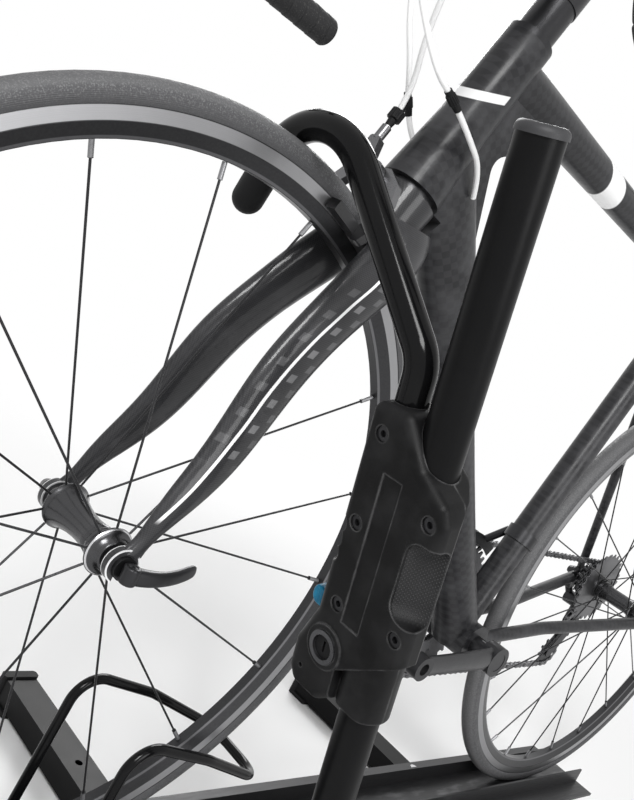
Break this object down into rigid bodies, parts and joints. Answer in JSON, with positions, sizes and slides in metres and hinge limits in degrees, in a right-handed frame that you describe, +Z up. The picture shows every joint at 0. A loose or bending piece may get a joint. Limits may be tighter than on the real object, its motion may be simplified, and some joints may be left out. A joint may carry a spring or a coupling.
{
  "type": "bicycle on stand",
  "caption": "Road bicycle standing in a floor tray, held by a hook over the front tyre; the hook slides on a leaning ratchet mast with release lever and lock.",
  "frame": {"origin": "on the floor, half way between the two wheel axles, in the middle plane of the bicycle", "axes": "+Z up, -X the way the bicycle faces, -Y its left side, where the mast stands"},
  "size_m": [1.6569, 0.584, 1.0592],
  "materials": {
    "stand_steel": "black satin powder coat",
    "tray_metal": "black anodised",
    "rubber": "matte black rubber",
    "zinc": "zinc plated",
    "black_plastic": "fine textured black",
    "cap_plastic": "dark grey",
    "blue_plastic": "bright blue",
    "lock_metal": "satin chrome",
    "tyre": "grey rubber",
    "rim_metal": "dark with brushed brake track",
    "spoke_steel": "black stainless",
    "hub_metal": "graphite anodised",
    "frame_paint": "dark gloss paint with white panels",
    "fork_carbon": "clear-coated dark carbon with a white stripe",
    "bright_metal": "polished",
    "black_metal": "black anodised",
    "chain_steel": "bare steel",
    "tape": "wrapped cork tape",
    "saddle_cover": "smooth black cover",
    "housing": "white cable housing"
  },
  "bodies": {
    "frame": {"wheel_tray": "tray_metal", "foot_bars": "stand_steel", "foot_caps": "rubber", "stand_bolts": "zinc", "wheel_hoop": "stand_steel", "mast_bracket": "stand_steel", "mast_pivot_bolt": "zinc", "head_tube": "frame_paint", "headset_bearings": "bright_metal", "top_tube": "frame_paint", "down_tube": "frame_paint", "seat_tube": "frame_paint", "bottom_bracket_shell": "frame_paint", "chainstays": "frame_paint", "seatstays": "frame_paint", "rear_axle": "hub_metal", "chain": "chain_steel", "rear_derailleur": "black_metal", "front_derailleur": "black_metal"},
    "mast": {"mast_tube": "stand_steel", "ratchet_strip": "black_plastic", "mast_cap": "cap_plastic"},
    "hook_carriage": {"carriage_front_shell": "black_plastic", "carriage_rear_shell": "black_plastic", "carriage_screws": "zinc", "hook_tube": "stand_steel", "hook_sleeve": "rubber", "pawl_spring": "zinc", "lock_barrel": "lock_metal"},
    "release_lever": {"release_lever": "blue_plastic"},
    "pawl": {"ratchet_pawl": "lock_metal"},
    "lock_plug": {"lock_plug": "lock_metal"},
    "steering": {"fork": "fork_carbon", "stem": "black_metal", "handlebar": "black_metal", "bar_tape": "tape", "brake_hoods": "rubber", "cables": "housing", "front_axle": "hub_metal"},
    "front_wheel": {"front_tyre": "tyre", "front_rim": "rim_metal", "front_spokes": "spoke_steel", "front_hub": "hub_metal"},
    "front_qr": {"front_qr_lever": "black_metal"},
    "left_lever": {"left_brake_lever": "black_metal"},
    "right_lever": {"right_brake_lever": "black_metal"},
    "front_left_arm": {"front_brake_left_arm": "black_metal"},
    "front_right_arm": {"front_brake_right_arm": "black_metal"},
    "rear_wheel": {"rear_tyre": "tyre", "rear_rim": "rim_metal", "rear_spokes": "spoke_steel", "rear_hub": "hub_metal"},
    "cassette": {"cassette": "chain_steel"},
    "rear_qr": {"rear_qr_lever": "black_metal"},
    "crankset": {"crank_arms": "bright_metal", "chainrings": "bright_metal"},
    "rear_left_arm": {"rear_brake_left_arm": "black_metal"},
    "rear_right_arm": {"rear_brake_right_arm": "black_metal"},
    "saddle_post": {"seatpost": "black_metal", "saddle": "saddle_cover"}
  },
  "joints": [
    {"name": "mast_tilt", "type": "hinge", "parent": "frame", "child": "mast", "pos_m": [-0.2666, -0.2, 0.0764], "axis": [0, 1, 0], "range_deg": [0, 3]},
    {"name": "hook_slide", "type": "slide", "parent": "mast", "child": "hook_carriage", "axis": [-0.2874, 0, 0.9578], "range_m": [0, 0.18]},
    {"name": "release", "type": "hinge", "parent": "hook_carriage", "child": "release_lever", "pos_m": [-0.37149, -0.154, 0.42601], "axis": [-0.9578, 0, -0.2874], "range_deg": [0, 14], "stiffness_Nm_per_rad": 0.05},
    {"name": "pawl_lift", "type": "hinge", "parent": "hook_carriage", "child": "pawl", "pos_m": [-0.37177, -0.1682, 0.42696], "axis": [-0.9578, 0, -0.2874], "range_deg": [0, 8]},
    {"name": "lock_turn", "type": "hinge", "parent": "hook_carriage", "child": "lock_plug", "pos_m": [-0.36114, -0.168, 0.39152], "axis": [-0.9578, 0, -0.2874], "range_deg": [0, 90]},
    {"name": "steer", "type": "hinge", "parent": "frame", "child": "steering", "pos_m": [-0.33666, 0, 0.71451], "axis": [0.309, 0, 0.9511], "range_deg": [-1.2, 1.2]},
    {"name": "front_wheel_spin", "type": "hinge", "parent": "steering", "child": "front_wheel", "pos_m": [-0.4945, 0, 0.37435], "axis": [0, 1, 0], "continuous": true},
    {"name": "front_qr_turn", "type": "hinge", "parent": "steering", "child": "front_qr", "pos_m": [-0.4945, -0.06785, 0.37435], "axis": [0, 0, -1], "range_deg": [0, 165]},
    {"name": "left_lever_pull", "type": "hinge", "parent": "steering", "child": "left_lever", "pos_m": [-0.50051, -0.205, 0.98086], "axis": [0, -1, 0], "range_deg": [0, 15], "stiffness_Nm_per_rad": 1},
    {"name": "right_lever_pull", "type": "hinge", "parent": "steering", "child": "right_lever", "pos_m": [-0.50051, 0.205, 0.98086], "axis": [0, -1, 0], "range_deg": [0, 15], "stiffness_Nm_per_rad": 1},
    {"name": "front_left_arm_turn", "type": "hinge", "parent": "steering", "child": "front_left_arm", "pos_m": [-0.37175, 0, 0.7133], "axis": [0.9511, 0, -0.309], "range_deg": [0, 1]},
    {"name": "front_right_arm_turn", "type": "hinge", "parent": "steering", "child": "front_right_arm", "pos_m": [-0.37175, 0, 0.7133], "axis": [-0.9511, 0, 0.309], "range_deg": [0, 1]},
    {"name": "rear_wheel_spin", "type": "hinge", "parent": "frame", "child": "rear_wheel", "pos_m": [0.4945, 0, 0.37435], "axis": [0, 1, 0], "continuous": true},
    {"name": "crank_spin", "type": "hinge", "parent": "frame", "child": "crankset", "pos_m": [0.0905, 0, 0.30435], "axis": [0, 1, 0], "continuous": true},
    {"name": "cassette_spin", "type": "hinge", "parent": "frame", "child": "cassette", "pos_m": [0.4945, 0, 0.37435], "axis": [0, 1, 0], "continuous": true},
    {"name": "rear_qr_turn", "type": "hinge", "parent": "frame", "child": "rear_qr", "pos_m": [0.4945, -0.08285, 0.37435], "axis": [0, 0, -1], "range_deg": [0, 165]},
    {"name": "rear_left_arm_turn", "type": "hinge", "parent": "frame", "child": "rear_left_arm", "pos_m": [0.32961, 0, 0.69452], "axis": [0.876, 0, 0.4824], "range_deg": [0, 1]},
    {"name": "rear_right_arm_turn", "type": "hinge", "parent": "frame", "child": "rear_right_arm", "pos_m": [0.32961, 0, 0.69452], "axis": [-0.876, 0, -0.4824], "range_deg": [0, 1]},
    {"name": "seatpost_slide", "type": "slide", "parent": "frame", "child": "saddle_post", "axis": [0.284, 0, 0.9588], "range_m": [-0.03, 0.05]}
  ],
  "couplings": [
    {"joint": "pawl_lift", "follows": "release", "ratio": 0.5714},
    {"joint": "front_left_arm_turn", "follows": "left_lever_pull", "ratio": 0.066666},
    {"joint": "front_right_arm_turn", "follows": "left_lever_pull", "ratio": 0.066666},
    {"joint": "rear_left_arm_turn", "follows": "right_lever_pull", "ratio": 0.066666},
    {"joint": "rear_right_arm_turn", "follows": "right_lever_pull", "ratio": 0.066666},
    {"joint": "cassette_spin", "follows": "crank_spin", "ratio": 2.9412}
  ]
}
